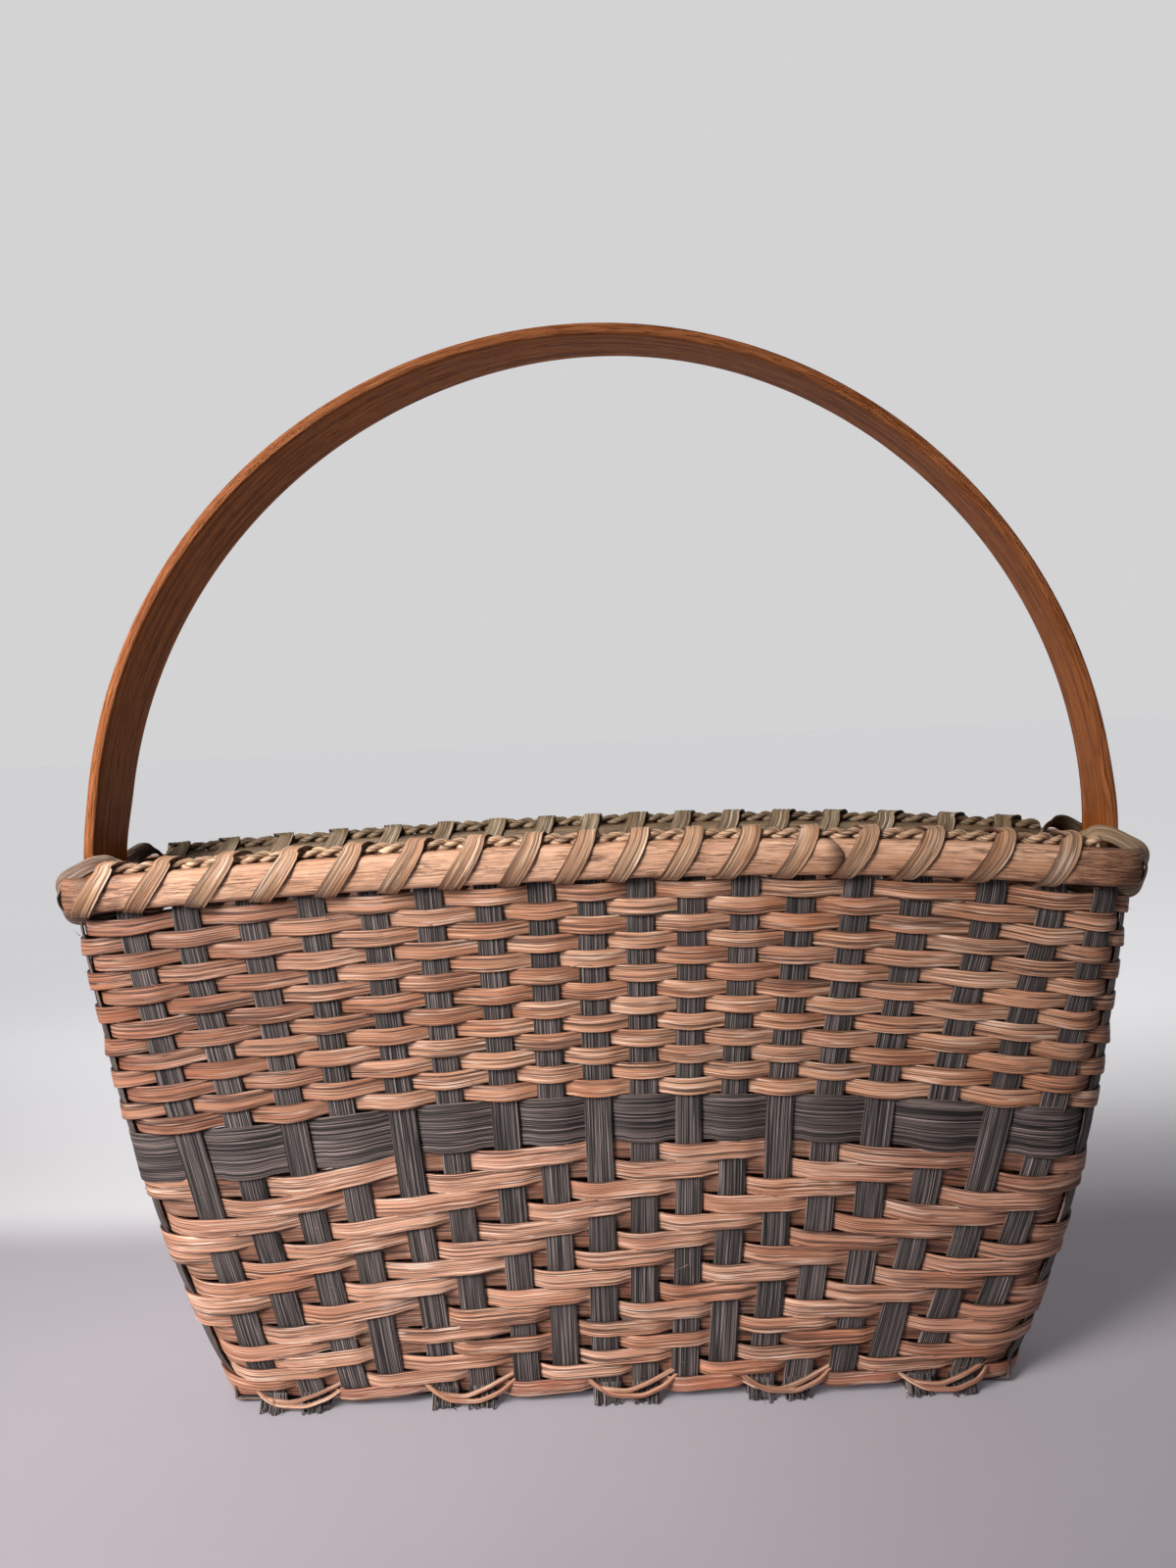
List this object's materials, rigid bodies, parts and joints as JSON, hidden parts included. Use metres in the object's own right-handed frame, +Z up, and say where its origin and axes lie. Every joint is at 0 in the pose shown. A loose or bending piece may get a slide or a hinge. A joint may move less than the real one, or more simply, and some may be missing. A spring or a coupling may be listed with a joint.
{
  "type": "reed basket",
  "caption": "Long shallow flared basket woven from flat reed on dark flat stakes, with lashed double rims and a bent wood hoop handle.",
  "frame": {"origin": "middle of the underside, on the surface that the basket stands on", "axes": "+Z up, X along the long sides, -Y out of the front side"},
  "size_m": [0.3644, 0.0712, 0.3614],
  "materials": {
    "natural_reed": "satin, fine lengthwise grain",
    "dark_reed": "dyed, matte with fine pale streaks",
    "dark_stake": "dyed, matte with fine pale streaks",
    "rim_reed": "satin, mottled brown marks",
    "seagrass": "matte twisted grass cord",
    "lashing_reed": "satin, ribbed lengthwise",
    "twining_reed": "satin, thin round reed",
    "handle_wood": "oiled, orange edges and dark inner face"
  },
  "bodies": {
    "root": {"foot_reed_1": "natural_reed", "foot_reed_2": "natural_reed", "foot_reed_3": "natural_reed", "foot_reed_4": "natural_reed", "foot_reed_5": "natural_reed", "lower_reed_1": "natural_reed", "lower_reed_2": "natural_reed", "lower_reed_3": "natural_reed", "lower_reed_4": "natural_reed", "lower_reed_5": "natural_reed", "lower_reed_6": "natural_reed", "lower_reed_7": "natural_reed", "lower_reed_8": "natural_reed", "lower_reed_9": "natural_reed", "lower_reed_10": "natural_reed", "dark_band": "dark_reed", "upper_reed_1": "natural_reed", "upper_reed_2": "natural_reed", "upper_reed_3": "natural_reed", "upper_reed_4": "natural_reed", "upper_reed_5": "natural_reed", "upper_reed_6": "natural_reed", "upper_reed_7": "natural_reed", "upper_reed_8": "natural_reed", "upper_reed_9": "natural_reed", "upper_reed_10": "natural_reed", "upper_reed_11": "natural_reed", "upper_reed_12": "natural_reed", "upper_reed_13": "natural_reed", "cross_stake_1": "dark_stake", "cross_stake_2": "dark_stake", "cross_stake_3": "dark_stake", "cross_stake_4": "dark_stake", "cross_stake_5": "dark_stake", "cross_stake_6": "dark_stake", "cross_stake_7": "dark_stake", "cross_stake_8": "dark_stake", "cross_stake_9": "dark_stake", "cross_stake_10": "dark_stake", "cross_stake_11": "dark_stake", "cross_stake_12": "dark_stake", "cross_stake_13": "dark_stake", "cross_stake_14": "dark_stake", "cross_stake_15": "dark_stake", "cross_stake_16": "dark_stake", "cross_stake_17": "dark_stake", "cross_stake_18": "dark_stake", "length_stake_1": "dark_stake", "length_stake_2": "dark_stake", "length_stake_3": "dark_stake", "length_stake_4": "dark_stake", "outer_rim": "rim_reed", "inner_rim": "rim_reed", "rim_filler": "seagrass", "front_lashing": "lashing_reed", "back_lashing": "lashing_reed", "base_twining": "twining_reed", "handle": "handle_wood"}
  },
  "joints": []
}
